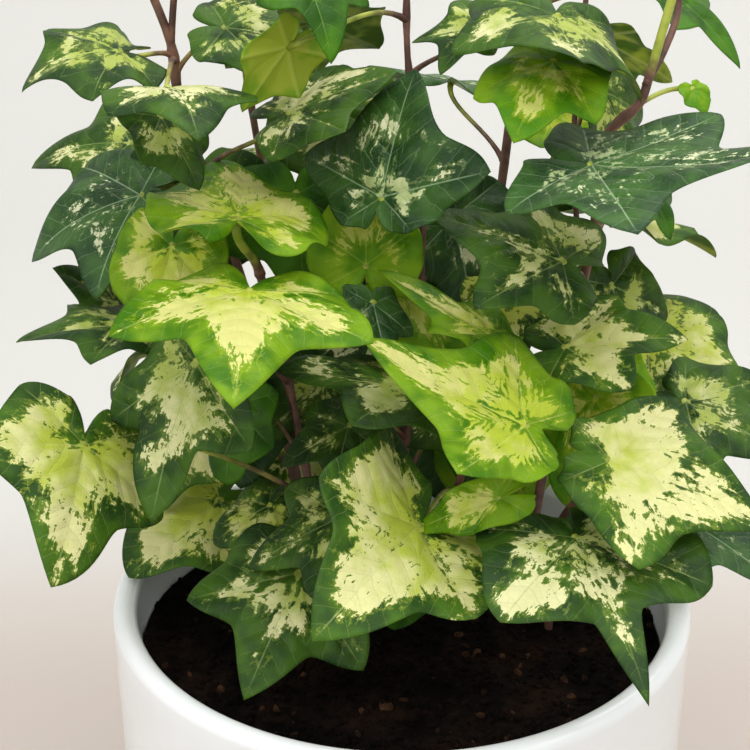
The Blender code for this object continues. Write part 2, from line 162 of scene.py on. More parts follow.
# Leaf surface, with lengths in mm
surface = {
    "greenEnds": (0.35, 0.65),       # noise values between which dark green turns light
    "palerEnds": (0.1, 0.75),
    "deepBand": 6.5,         # from the margin inwards, patches grow likelier over this much
    "streakAlong": 0.11,     # streaks per mm along a vein, so about 9 mm long
    "streakAcross": 0.85,    # and across it, so about 1.2 mm wide
    "streakBend": 2.4,
    "crisp": 0.05,           # width of the patches' edge in mask value
    "halfTone": 0.22,        # how far the grey-green band reaches beyond the patches
    "halfShare": 0.5,        # how strong that band is
    "halfMix": 0.4,          # its colour, from the light green towards the pale one
    "palerStart": -0.74,     # less than 0, as patches turn paler only away from the joint
    "palerAlong": 0.032,
    "palerNoise": 1.2,
    "palerTint": 0.45,       # how much it differs from leaf to leaf
    "mainVein": (0.05, 0.26),        # a main vein's full and faded half width
    "mainVeinEnds": (0.3, 5.0),      # a main vein fades as it comes this near the margin
    "sideGap": 2.4,
    "sideSlant": 0.85,
    "sideBend": 1.6,
    "sideVein": 0.26,
    "sideStrength": 0.35,    # of the main vein's
    "netScale": 0.62,        # cells per mm, so about 1.6 mm across
    "netVein": 0.06,         # share of a cell
    "netStrength": 0.1,
    "quiltSpan": 0.9,        # share of the gap between side veins over which it swells
    "quiltEnds": (0.5, 4.0),         # the swelling fades as it comes this near the margin
    "bump": 0.25 * mm,       # in metres, as every bump distance is
    "bumpStrength": 0.7,
    "specular": 0.18,        # low, as the wax is thin
    "roughSpan": 0.18,
}

# Noise on a leaf face: cells per mm, then how fine and how torn
leafNoise = {
    "warp": {"Scale": 0.3},                                             # bends veins and streaks
    "patches": {"Scale": 0.085, "Roughness": 0.55, "Distortion": 0.5},  # about 12 mm
    "specks": {"Scale": 0.5, "Detail": 3.0, "Roughness": 0.7},          # about 2 mm
    "tone": {"Scale": 0.12},                                            # the two greens, 8 mm
    "fade": {"Scale": 0.2},                                             # the two pales, 5 mm
}
streakNoise = {"Scale": 1.0, "Detail": 3.0, "Roughness": 0.65}

# How much each pattern lifts a leaf's surface, in bump distances
leafRelief = {"quilt": 1.3, "sideVein": -0.4, "netVein": -0.25, "specks": 0.3, "patches": 2.0}

leafBack = {
    "toneScale": 0.14,       # cells per mm, so about 7 mm across
    "grainScale": 0.6,
    "toneEnds": (0.4, 0.62),
    "grey": "#7F9A4C",
    "greyShare": 0.2,
    "veinEdge": (0.15, 0.6),
    "veinShare": 0.5,
    "bump": 0.2 * mm,
    "bumpStrength": 0.3,
    "rough": 0.6,
    "specular": 0.3,
}


# Flat place on the leaf, then the place along and across the nearest vein and from the margin
def leafPlaces(tree):
    flat = addNode(tree, "ShaderNodeAttribute", {"attribute_name": "flatPlace"})["Vector"]
    veins = addNode(tree, "ShaderNodeAttribute", {"attribute_name": "veinPlace"})["Vector"]
    return flat, *addNode(tree, "ShaderNodeSeparateXYZ", {}, (veins,))


# The surface itself, mixed with the light that comes through the blade
def finishLeaf(tree, look, waxy, through):
    wax = addNode(tree, "ShaderNodeBsdfPrincipled", {}, waxy)[0]
    glow = addNode(tree, "ShaderNodeBsdfTranslucent", {}, through)[0]
    both = addNode(tree, "ShaderNodeMixShader", {}, (look["glow"], wax, glow))[0]
    addNode(tree, "ShaderNodeOutputMaterial", {}, (both,))


# A waxy leaf face with jagged pale patches that run along the veins, green at its margin
def leafMaterial(name, look):
    material, tree = newMaterial(name)
    flat, along, across, inward = leafPlaces(tree)
    seed = addNode(tree, "ShaderNodeSeparateXYZ", {}, (flat,))[2]
    noise = {key: addNode(tree, "ShaderNodeTexNoise", {}, {"Vector": flat, **facts})[0]
             for key, facts in leafNoise.items()}
    lengthways = addNode(tree, "ShaderNodeMath", multiply, (along, surface["streakAlong"]))[0]
    sideways = addNode(tree, "ShaderNodeMath", multiply, (across, surface["streakAcross"]))[0]
    sideways = weighted(tree, sideways, (noise["warp"], surface["streakBend"]))
    streakPlace = addNode(tree, "ShaderNodeCombineXYZ", {}, (lengthways, sideways, seed))[0]
    streaks = addNode(tree, "ShaderNodeTexNoise", {}, {"Vector": streakPlace, **streakNoise})[0]

    # How pale a place is: deep inside, near a vein, pushed about by the noises
    band = surface["deepBand"]
    nearEdge = addNode(tree, "ShaderNodeMath", {"operation": "MINIMUM"}, (inward, band))[0]
    deep = addNode(tree, "ShaderNodeMath", {"operation": "DIVIDE"}, (nearEdge, band))[0]
    middle = -look["start"] - 0.5 * (look["feather"] + look["patchy"] + look["fleck"])
    value = weighted(tree, middle, (deep, 1.0), (streaks, look["feather"]),
                     (noise["patches"], look["patchy"]), (noise["specks"], look["fleck"]),
                     (across, -look["hug"]))

    dark, light, pale, paler, veinColour = [
        linear(look[key]) for key in ("dark", "light", "pale", "paler", "vein")]
    green = twoTone(tree, noise["tone"], *surface["greenEnds"], dark, light)
    halfColour = addNode(tree, "ShaderNodeMix", rgba, {0: surface["halfMix"], 6: light, 7: pale})[2]
    low = -surface["halfTone"]
    halfMask = addNode(tree, "ShaderNodeMapRange", smoothStep, (value, low, surface["crisp"] + low))[0]
    halfMask = addNode(tree, "ShaderNodeMath", multiply, (halfMask, surface["halfShare"]))[0]
    green = addNode(tree, "ShaderNodeMix", rgba, {0: halfMask, 6: green, 7: halfColour})[2]
    tint = addNode(tree, "ShaderNodeTexWhiteNoise", {"noise_dimensions": "1D"}, {"W": seed})[0]
    outward = weighted(tree, surface["palerStart"], (along, surface["palerAlong"]),
                       (noise["fade"], surface["palerNoise"]), (tint, surface["palerTint"]))
    patch = twoTone(tree, outward, *surface["palerEnds"], pale, paler)
    colour = twoTone(tree, value, 0.0, surface["crisp"], green, patch)

    # Side veins leave the main ones in a herring-bone; a fine net lies between them
    slant = weighted(tree, along, (across, -surface["sideSlant"]), (noise["warp"], surface["sideBend"]))
    wave = addNode(tree, "ShaderNodeMath", {"operation": "PINGPONG"}, (slant, surface["sideGap"]))[0]
    sideVein = softLine(tree, wave, 0.0, surface["sideVein"])
    mainVein = softLine(tree, across, *surface["mainVein"])
    mainVein = keepAbove(tree, mainVein, inward, *surface["mainVeinEnds"])
    cells = addNode(tree, "ShaderNodeTexVoronoi", {"feature": "DISTANCE_TO_EDGE"},
                    {"Vector": flat, "Scale": surface["netScale"]})[0]
    netVein = softLine(tree, cells, 0.0, surface["netVein"])
    share = look["veinShare"]
    veinMask = weighted(tree, 0.0, (mainVein, share), (sideVein, surface["sideStrength"] * share),
                        (netVein, surface["netStrength"] * share))
    colour = addNode(tree, "ShaderNodeMix", rgba, {0: veinMask, 6: colour, 7: veinColour})[2]

    rise = surface["quiltSpan"] * surface["sideGap"]
    quilt = addNode(tree, "ShaderNodeMapRange", smoothStep, (wave, 0.0, rise))[0]
    quilt = keepAbove(tree, quilt, inward, *surface["quiltEnds"])
    parts = {"quilt": quilt, "sideVein": sideVein, "netVein": netVein, **noise}
    height = weighted(tree, 0.0, *[(parts[key], lift) for key, lift in leafRelief.items()])
    normal = addNode(tree, "ShaderNodeBump", {}, {
        "Strength": surface["bumpStrength"], "Distance": surface["bump"], "Height": height})[0]
    smoothest = look["rough"] - surface["roughSpan"] / 2
    roughness = weighted(tree, smoothest, (noise["specks"], surface["roughSpan"]))
    finishLeaf(tree, look, {"Base Color": colour, "Roughness": roughness, "Normal": normal,
                            "Specular IOR Level": surface["specular"]},
               {"Color": colour, "Normal": normal})
    return material


# The duller, paler back of a leaf, with its veins standing out
def underMaterial(name, look):
    material, tree = newMaterial(name)
    flat, _, across, _ = leafPlaces(tree)
    tone, grain = [addNode(tree, "ShaderNodeTexNoise", {}, {"Vector": flat, "Scale": leafBack[key]})[0]
                   for key in ("toneScale", "grainScale")]
    colour = twoTone(tree, tone, *leafBack["toneEnds"], linear(look["light"]), linear(look["pale"]))
    colour = addNode(tree, "ShaderNodeMix", rgba, {
        0: leafBack["greyShare"], 6: colour, 7: linear(leafBack["grey"])})[2]
    mainVein = softLine(tree, across, *leafBack["veinEdge"])
    mainVein = addNode(tree, "ShaderNodeMath", multiply, (mainVein, leafBack["veinShare"]))[0]
    colour = addNode(tree, "ShaderNodeMix", rgba, {0: mainVein, 6: colour, 7: linear(look["vein"])})[2]
    normal = addNode(tree, "ShaderNodeBump", {}, {
        "Strength": leafBack["bumpStrength"], "Distance": leafBack["bump"], "Height": grain})[0]
    finishLeaf(tree, look, {"Base Color": colour, "Roughness": leafBack["rough"], "Normal": normal,
                            "Specular IOR Level": leafBack["specular"]}, {"Color": colour})
    return material


leafFaces = {name: (leafMaterial(f"waxy_{name}_leaf", look), underMaterial(f"{name}_leaf_back", look))
             for name, look in looks.items()}


# Leaf outlines: the angle from the tip, the reach there as a share of the length
# and, for a lobe's tip, how pointed it is.

outlines = {
    "classic": [(0, 1.0, 0.85), (30, 0.60), (55, 0.80, 0.6), (84, 0.52), (115, 0.52, 0.3),
                (150, 0.34), (180, 0.10)],
    "broad": [(0, 1.0, 0.8), (32, 0.70), (54, 0.80, 0.5), (85, 0.62), (112, 0.60, 0.2),
              (150, 0.42), (180, 0.10)],
    "arrow": [(0, 1.0, 0.9), (30, 0.50), (62, 0.66, 0.7), (90, 0.44), (122, 0.48, 0.3),
              (152, 0.30), (180, 0.10)],
    "heart": [(0, 1.0, 0.5), (35, 0.78), (58, 0.78, 0.2), (85, 0.70), (115, 0.62, 0.1),
              (150, 0.42), (180, 0.10)],
    "long": [(0, 1.0, 0.9), (26, 0.48), (55, 0.56, 0.7), (85, 0.36), (118, 0.36, 0.3),
             (150, 0.24), (180, 0.10)],
    "spread": [(0, 1.0, 0.8), (38, 0.60), (72, 0.78, 0.5), (98, 0.60), (125, 0.62, 0.3),
               (155, 0.38), (180, 0.10)],
    "fan": [(0, 1.0, 0.8), (38, 0.60), (70, 0.78, 0.5), (98, 0.46), (128, 0.38, 0.3),
            (155, 0.26), (180, 0.10)],
    "wing": [(0, 1.0, 0.9), (34, 0.62), (62, 0.78, 0.4), (90, 0.60), (122, 0.66, 0.4),
             (152, 0.34), (180, 0.10)],
    "tail": [(0, 1.0, 0.95), (13, 0.54), (52, 0.66, 0.4), (84, 0.50), (115, 0.48, 0.2),
             (150, 0.32), (180, 0.10)],
}

# Leaves: outline, place of the stalk's joint (mm, height from the rim), length,
# heading, pitch, roll, droop, cup, width factor, look, then the stem and the height
# on it that the stalk grows from.

leaves = {
    "leaf_front_1": ("classic", (-31, -22, 84), 40, 0, 5, -5, 30, 10, 0.97, "lime",
                     "stem_left_front", 62),
    "leaf_front_2": ("fan", (24, -36, 61), 35, -102, 22, -11, -5, -7, 1.0, "lime",
                     "stem_centre_front", 50),
    "leaf_front_3": ("wing", (3, -38, 39), 37, -29, -4, -34, 18, -42, 0.9, "cream",
                     "stem_centre_front", 24),
    "leaf_front_4": ("classic", (-43, -18, 66), 34, -28, -45, 10, 15, 15, 0.85, "mixed",
                     "stem_left_front", 48),
    "leaf_front_5": ("classic", (-13, -20, 31), 24, -85, -24, -20, 20, 5, 1.0, "mixed",
                     "stem_centre_front", 10),
    "leaf_front_6": ("classic", (-22, -20, 17), 32, -25, -30, -15, 10, 10, 0.95, "mixed",
                     "stem_left_front", 4),
    "leaf_front_7": ("tail", (34, -44, 40), 43, 19, -9, -2, 27, -3, 1.0, "mixed",
                     "stem_right_front", 22),
    "leaf_front_8": ("broad", (3, -14, 58), 30, -89, 17, 6, 15, 16, 1.0, "mixed",
                     "stem_centre_front", 40),
    "leaf_front_9": ("long", (18, -8, 68), 27, -117, 22, 6, 10, 10, 1.05, "lime",
                     "stem_centre_front", 60),
    "leaf_front_10": ("classic", (-6, -2, 72), 15, 17, -39, -24, 10, 10, 1.0, "dark",
                      "stem_top_centre", 46),
    "leaf_front_11": ("classic", (-12, -2, 43), 17, -80, -25, -25, 10, 10, 1.0, "mixed",
                      "stem_top_centre", 30),
    "leaf_front_12": ("heart", (-37, 10, 42), 18, -30, -62, 15, 15, 10, 1.0, "plain",
                      "stem_left_front", 30),
    "leaf_left_1": ("spread", (-65.8, -22, 48.8), 32, -2, -29, -36, 28, 22, 0.95, "cream",
                    "stem_left_front", 20),
    "leaf_left_2": ("heart", (-34, -8, 94), 33, 180, 0, 10, 4, 22, 0.82, "lime", "stem_left_front", 76),
    "leaf_left_3": ("classic", (-57.5, 24, 86.5), 33, -86, -14, -24, 40, 20, 0.95, "flecked",
                    "stem_left_tall", 85),
    "leaf_left_4": ("heart", (-49, 5, 82), 21, -25, -58, -15, 10, 10, 0.85, "lime",
                    "stem_left_tall", 60),
    "leaf_left_5": ("classic", (-64, 25, 60), 17, -70, 43, -35, 20, 10, 1.0, "mixed",
                    "stem_left_tall", 55),
    "leaf_left_6": ("classic", (-59, 5, 64), 24, -75, 8, 0, 20, 10, 1.0, "mixed", "stem_left_tall", 48),
    "leaf_left_7": ("heart", (-42, 19, 13), 27, -50, -15, -5, 10, 10, 1.1, "cream",
                    "stem_left_tall", 2),
    "leaf_left_8": ("heart", (-30, 4, 20), 15, -72, -20, -5, 20, 10, 1.0, "cream", "stem_left_tall", 6),
    "leaf_left_9": ("arrow", (-62, 48, 90), 30, -100, 0, -28, 50, 10, 0.9, "mixed",
                    "stem_back_left", 78),
    "leaf_left_10": ("broad", (-59, 15, 122), 24, -63, 13, -10, 60, 10, 0.95, "mixed",
                     "stem_left_tall", 118),
    "leaf_top_1": ("fan", (-5, 0, 95), 29, 158, 61, -18, 11, 11, 1.15, "dark", "stem_top_centre", 86),
    "leaf_top_2": ("broad", (-47, -6, 121), 27, 21, 21, -5, 60, 20, 0.85, "mixed",
                   "stem_left_tall", 117),
    "leaf_top_3": ("broad", (-50, 8, 110), 18, 45, -40, -7, 20, 20, 0.9, "mixed", "stem_left_tall", 95),
    "leaf_top_4": ("broad", (-37, 18, 126), 20, 90, -5, 18, 22, 12, 1.0, "mixed",
                   "stem_left_tall", 114),
    "leaf_top_5": ("classic", (-21, 8, 142), 22, 30, -35, -12, 20, 0, 1.0, "plain",
                   "stem_top_centre", 132),
    "leaf_top_6": ("broad", (-24, 4, 126), 16, -73, -48, 62, 15, 16, 1.05, "young",
                   "stem_top_centre", 124),
    "leaf_top_7": ("broad", (-24, 14, 109), 24, 90, 25, 9, 10, 10, 1.05, "mixed", "stem_left_tall", 92),
    "leaf_top_8": ("classic", (16, 16, 127), 17, -108, -10, -27, 16, 12, 0.95, "mixed",
                   "stem_top_centre", 112),
    "leaf_top_9": ("broad", (30, 2, 124), 27, -22, -12, -5, 20, 40, 0.75, "young",
                   "stem_right_thin", 110),
    "leaf_top_10": ("spread", (31, 6, 132), 29, 4, -9, -16, -12, 48, 1.1, "mixed",
                    "stem_right_thin", 124),
    "leaf_top_11": ("heart", (34, 44, 98), 18, 45, -16, 0, 10, 10, 1.0, "young", "stem_back_right", 92),
    "leaf_top_12": ("arrow", (58, 36, 128.5), 22, 66, -30, 0, 22, 8, 1.0, "plain",
                    "stem_back_right", 118),
    "leaf_top_13": ("heart", (-8, 9, 76), 20, 180, 60, -5, 0, -10, 0.9, "young", "stem_top_centre", 48),
    "leaf_right_1": ("classic", (37, -12, 107), 41, 66, 4, 3, -16, 4, 1.1, "flecked",
                     "stem_right_tall", 94),
    "leaf_right_2": ("classic", (33, -5, 83), 30, -98, 23, -21, 15, 15, 1.0, "mixed",
                     "stem_right_tall", 70),
    "leaf_right_3": ("classic", (34, -6, 64), 27, 88, 13, 18, 15, 0, 0.85, "cream",
                     "stem_right_tall", 54),
    "leaf_right_4": ("fan", (41, -36, 53), 38, 78, -11, 17, 20, 10, 0.85, "cream",
                     "stem_right_front", 40),
    "leaf_right_5": ("heart", (57, 34, 49), 25, 61, -16, 13, 8, 14, 1.1, "cream",
                     "stem_back_right", 48),
    "leaf_right_6": ("classic", (63, 10, 43), 26, 63, -14, 20, 15, 10, 1.0, "mixed",
                     "stem_right_tall", 26),
    "leaf_right_7": ("classic", (65, 10, 13), 28, 48, -8, -3, 15, 10, 1.0, "flecked",
                     "stem_right_tall", 4),
    "leaf_right_8": ("broad", (41, -3, 50), 24, -43, -62, 10, 10, 10, 1.0, "young",
                     "stem_right_tall", 56),
    "leaf_back_1": ("spread", (-16, 62, 84), 36, 195, -10, 0, 20, 10, 1.0, "mixed",
                    "stem_back_left", 70),
    "leaf_back_2": ("classic", (12, 66, 99), 38, 165, -15, 5, 20, 10, 1.0, "flecked",
                    "stem_back_right", 84),
    "leaf_back_3": ("broad", (48, 46, 74), 34, 140, -20, 0, 15, 10, 1.0, "cream",
                    "stem_back_right", 60),
    "leaf_back_4": ("classic", (-50, 51, 57), 34, -140, -20, 0, 15, 10, 1.0, "mixed",
                    "stem_back_left", 44),
    "leaf_back_5": ("spread", (0, 61, 50), 38, 180, -35, 0, 15, 10, 1.0, "cream", "stem_back_left", 30),
}

# Stems: radius, then the runs of their centre lines (mm, height from the rim).

stems = {
    "stem_left_tall": (1.1, [
        [(-20, 14, -20), (-20, 14, -8), (-26, 16, 30), (-36, 20, 70),
         (-47, 22, 105), (-49, 22, 121), (-55, 22, 139), (-59, 20, 157)],
        [(-49, 22, 119), (-48, 22, 130), (-46, 23, 144), (-45, 24, 156)],
    ]),
    "stem_top_centre": (0.8, [
        [(-2, 16, -20), (-2, 16, -8), (1, 16, 30), (4, 14, 72),
         (4, 20, 95), (1, 28, 116), (1, 29, 138), (3, 30, 158)],
    ]),
    "stem_right_tall": (1.15, [
        [(28, 10, -20), (28, 10, -8), (33, 12, 30), (39, 14, 68), (41, 12, 83),
         (41, 12, 100), (44, 12, 106), (49, 12, 111), (51, 13, 117), (53, 14, 125),
         (55, 15, 133), (59, 17, 148)],
        [(50, 12, 115), (54, 16, 121), (57, 20, 129), (56, 21, 141), (52, 21, 153)],
    ]),
    "stem_right_thin": (0.7, [
        [(20, 20, -20), (20, 20, -8), (23, 20, 8), (31, 22, 32), (38, 22, 71),
         (37, 24, 93), (37, 24, 107), (38, 25, 123), (39, 26, 146)],
    ]),
    "stem_left_front": (0.9, [
        [(-16, 0, -20), (-16, 0, -8), (-20, 4, 20), (-25, 8, 48),
         (-29, 6, 68), (-31, 2, 80)],
    ]),
    "stem_centre_front": (0.9, [
        [(10, 18, -20), (10, 18, -8), (11, 8, 14), (13, -6, 34),
         (16, -13, 50), (17, -13, 62)],
    ]),
    "stem_right_front": (0.9, [
        [(34, 4, -20), (34, 4, -8), (33, -3, 10), (34, -14, 26),
         (38, -25, 40), (41, -29, 48)],
    ]),
    "stem_back_left": (0.9, [
        [(-8, 26, -20), (-8, 26, -8), (-16, 32, 30), (-28, 38, 70),
         (-34, 40, 105), (-36, 38, 135)],
    ]),
    "stem_back_right": (0.9, [
        [(10, 30, -20), (10, 30, -8), (16, 36, 30), (22, 46, 70),
         (26, 52, 105), (30, 52, 140)],
    ]),
}

# Inner leaves, smaller and half hidden, that fill the plant between the main ones:
# the same rows without droop, cup and width, which innerBend gives them all

innerBend = (20, 10, 1.0)
innerRows = [
    ("classic", (-23, 20, 88), 26, 10, -55, 0, "plain", "stem_top_centre", 70),
    ("broad", (-46, 28, 86), 28, -10, -62, 0, "mixed", "stem_left_tall", 74),
    ("classic", (12, 23, 82), 27, 25, -62, 0, "dark", "stem_top_centre", 66),
    ("broad", (-34, 20, 46), 27, -15, -60, 0, "dark", "stem_left_front", 30),
    ("heart", (40, 8, 46), 25, 0, -78, -10, "young", "stem_right_tall", 36),
    ("heart", (2, 14, 67), 21, 55, -42, 0, "young", "stem_top_centre", 54),
    ("classic", (-17, 15, 46), 25, 20, -66, 0, "mixed", "stem_top_centre", 32),
    ("heart", (0, -6, 9), 15, -10, -30, 0, "plain", "stem_centre_front", 3),
    ("classic", (54, 26, 88), 14, 60, -50, 0, "plain", "stem_right_tall", 78),
    ("heart", (61, 16, 113), 6, 40, -40, 0, "young", "stem_right_tall", 108),
    ("broad", (-4, 18, 60), 29, -5, -72, 0, "dark", "stem_top_centre", 42),
    ("classic", (16, 22, 40), 27, 15, -64, 0, "mixed", "stem_right_thin", 26),
    ("broad", (-50, 22, 34), 24, -40, -58, 0, "cream", "stem_left_tall", 22),
    ("classic", (48, 30, 62), 25, 40, -60, 0, "mixed", "stem_right_thin", 54),
    ("broad", (-14, 30, 104), 24, 0, -60, 0, "mixed", "stem_top_centre", 92),
    ("classic", (44, 30, 108), 22, 60, -55, 0, "mixed", "stem_right_thin", 98),
    ("broad", (-20, 50, 118), 28, 200, -40, 0, "mixed", "stem_back_left", 104),
    ("classic", (44, 60, 112), 27, 150, -45, 0, "cream", "stem_back_right", 98),
    ("broad", (-34, 56, 34), 28, -160, -40, 0, "dark", "stem_back_left", 22),
    ("classic", (34, 58, 30), 28, 150, -40, 0, "mixed", "stem_back_right", 20),
    ("heart", (6, 46, 24), 24, 180, -55, 0, "plain", "stem_back_right", 12),
    ("classic", (-58, 42, 44), 24, -110, -50, 0, "mixed", "stem_back_left", 50),
    ("broad", (44, 38, 86), 20, 150, -50, 0, "dark", "stem_back_right", 76),
    ("broad", (-24, 36, 24), 26, 0, -60, 0, "cream", "stem_top_centre", 12),
    ("heart", (24, 28, 27), 24, 10, -62, 0, "young", "stem_right_thin", 12),
    ("broad", (13, 36, 28), 25, -8, -60, 0, "dark", "stem_top_centre", 16),
    ("broad", (21, 20, 68), 24, 18, -62, 0, "cream", "stem_right_thin", 58),
]
innerLeaves = {f"inner_{number}": (*turned, *innerBend, look, stemName, height)
               for number, (*turned, look, stemName, height) in enumerate(innerRows, 1)}

# The base lobe of the big front leaf, folded over its face. It has no stalk.
innerLeaves["folded_lobe"] = ("heart", (18.5, -41.8, 47.5), 20, -99, -24, -44, 20, 20, 0.42, "lime", "", 0)

detail = {
    "stepsPerSpan": 12,      # outline points between a lobe's tip and the valley beside it
    "rings": 18,             # rows of faces from the joint to the margin
    "ringPower": 0.9,        # under 1, so the rows lie closer near the margin
    "unevenBroad": 0.035,    # how far the outline wanders, as a share of its reach
    "unevenFine": 0.02,
    "thickness": 0.38 * mm,
    "edgeThinning": 0.55,    # share of the thickness that is gone at the margin
    "veinDip": 0.30,         # mm that the surface dips along a main vein
    "veinWidth": 0.7,        # mm
    "pillow": 1.0,           # mm that the leaf swells between its main veins
    "pillowWidth": 4.0,      # mm from a vein to the full swelling
    "pillowEdge": 0.8,       # share of the swelling that is gone at the margin
    "sink": 0.35,            # share of the swelling by which the whole blade is lowered
    "flatJoint": 0.2,        # share of the length over which the swelling starts
    "pucker": 0.30,          # mm of small uneven swelling
    "wave": 0.95,            # mm that the margin of a usual leaf rises and falls
    "usualLength": 35,       # mm
    "cupSpan": 0.7,          # share of the length over which the cup's angle is turned
    "seedStart": 0.4,
    "seedStep": 0.77,
    "seedApart": 17.0,       # mm in the noise between two seeds that differ by 1
}


def reachAt(style, angle):
    for start, end in zip(outlines[style], outlines[style][1:]):
        if angle > end[0]:
            continue
        share = (angle - start[0]) / (end[0] - start[0])
        if len(start) == 3:
            lobe, valley, share = start, end, 1 - share
        else:
            lobe, valley = end, start
        smooth = (1 - math.cos(math.pi * share)) / 2
        if len(lobe) == 2:
            return valley[1] + (lobe[1] - valley[1]) * smooth
        rise = (1 - lobe[2]) * smooth + lobe[2] * share ** 1.5
        return valley[1] + (lobe[1] - valley[1]) * rise
    return outlines[style][-1][1]


def outlineAngles(style):
    side = []
    for start, end in zip(outlines[style], outlines[style][1:]):
        for i in range(detail["stepsPerSpan"]):
            side.append(start[0] + (end[0] - start[0]) * i / detail["stepsPerSpan"])
    return np.array([-180.0] + [-a for a in reversed(side)] + side[1:])


def bent(x, y, z, length, droop, cup):
    if cup:
        rate = math.radians(cup) / (detail["cupSpan"] * length)
        z = z + (np.cos(rate * x) - 1) / rate
        x = np.sin(rate * x) / rate
    if droop:
        radius = length / math.radians(droop)
        angle = y / radius
        y, z = (radius + z) * np.sin(angle), (radius + z) * np.cos(angle) - radius
    return x, y, z


def leafTurn(heading, pitch, roll):
    turn = Matrix.Rotation(math.radians(180 + heading), 4, "Z")
    turn @= Matrix.Rotation(math.radians(pitch), 4, "X")
    turn @= Matrix.Rotation(math.radians(roll), 4, "Y")
    return turn


def fromRim(point):
    x, y, z = point
    return Vector((x * mm, y * mm, rimHeight + z * mm))


# Smooth uneven swelling from a few crossed waves, from -1 to 1
def waves(x, y, seed):
    total = np.zeros_like(x)
    for i in range(5):
        angle = seed * 1.7 + i * 2.4
        size = 2.2 + 1.3 * i
        total += np.sin((x * math.cos(angle) + y * math.sin(angle)) / size + seed * (i + 1.3))
    return total / 5


def place(obj):
    scene.collection.objects.link(obj)
    return obj


def meshObject(name, points, faces, materials):
    mesh = bpy.data.meshes.new(name)
    mesh.from_pydata(points, [], faces)
    for material in materials:
        mesh.materials.append(material)
    mesh.polygons.foreach_set("use_smooth", [True] * len(mesh.polygons))
    mesh.update()
    return place(bpy.data.objects.new(name, mesh))


def setAttribute(obj, name, values):
    layer = obj.data.attributes.new(name, "FLOAT_VECTOR", "POINT")
    layer.data.foreach_set("vector", np.asarray(values, np.float32).ravel())


# Distance along and across from the nearest main vein
def veinDistances(style, x, y, width):
    lobes = [row[0] for row in outlines[style] if len(row) == 3]
    veinAngles = np.radians(sorted({s * a for a in lobes for s in (-1, 1)}))
    dirs = np.stack([np.sin(veinAngles) * width, np.cos(veinAngles)], -1)
    dirs /= np.linalg.norm(dirs, axis=1)[:, None]
    along = x[..., None] * dirs[:, 0] + y[..., None] * dirs[:, 1]
    across = np.abs(x[..., None] * dirs[:, 1] - y[..., None] * dirs[:, 0])
    across = np.where(along > 0, across, np.hypot(x, y)[..., None])
    nearest = np.argmin(across, axis=-1)[..., None]
    return [np.take_along_axis(d, nearest, -1)[..., 0] for d in (along, across)]


# How the blade rises and falls, in mm, before it is bent
def bladeRelief(x, y, across, edge, angles, length, seed):
    fade = np.minimum(1, np.hypot(x, y) / (detail["flatJoint"] * length))
    z = -detail["veinDip"] * np.exp(-(across / detail["veinWidth"]) ** 2)
    swell = 1 - np.exp(-(across / detail["pillowWidth"]) ** 2)
    z = z + detail["pillow"] * swell * fade * (1 - detail["pillowEdge"] * edge ** 4)
    z = z + detail["pucker"] * waves(x, y, seed) * fade
    side = 0.5 + 0.5 * math.sin(seed * 3.1)
    # A whole number of waves round the leaf, so that they meet at its notch
    ripple = np.sin(angles * (5 + int(seed) % 3) + seed * 2.1)[None, :]
    z = z + detail["wave"] * (1 + side) * edge ** 3 * ripple * (length / detail["usualLength"])
    return z - detail["pillow"] * detail["sink"]


# The sheet moved along its normals, by less near the margin
def underside(top, edge):
    du = np.roll(top, -1, axis=1) - np.roll(top, 1, axis=1)
    dv = np.gradient(top, axis=0)
    normals = np.cross(dv, du)
    normals /= np.maximum(np.linalg.norm(normals, axis=-1, keepdims=True), 1e-12)
    normals *= np.sign(normals[..., 2:3].mean() or 1)
    taper = (1 - detail["edgeThinning"] * edge ** 6)[..., None]
    return top - normals * detail["thickness"] * taper


# Faces of the upper side with the margin, and of the back, round a middle point on each side
def bladeFaces(rings, around):
    half = 1 + rings * around
    last = 1 + (rings - 1) * around
    faces, backs = [], []
    for j in range(around):
        k = (j + 1) % around
        faces.append((0, 1 + k, 1 + j))
        backs.append((half, half + 1 + j, half + 1 + k))
        for i in range(rings - 1):
            a, b = 1 + i * around, 1 + (i + 1) * around
            faces.append((a + j, a + k, b + k, b + j))
            backs.append((half + a + j, half + b + j, half + b + k, half + a + k))
        faces.append((last + j, last + k, half + last + k, half + last + j))
    return faces, backs


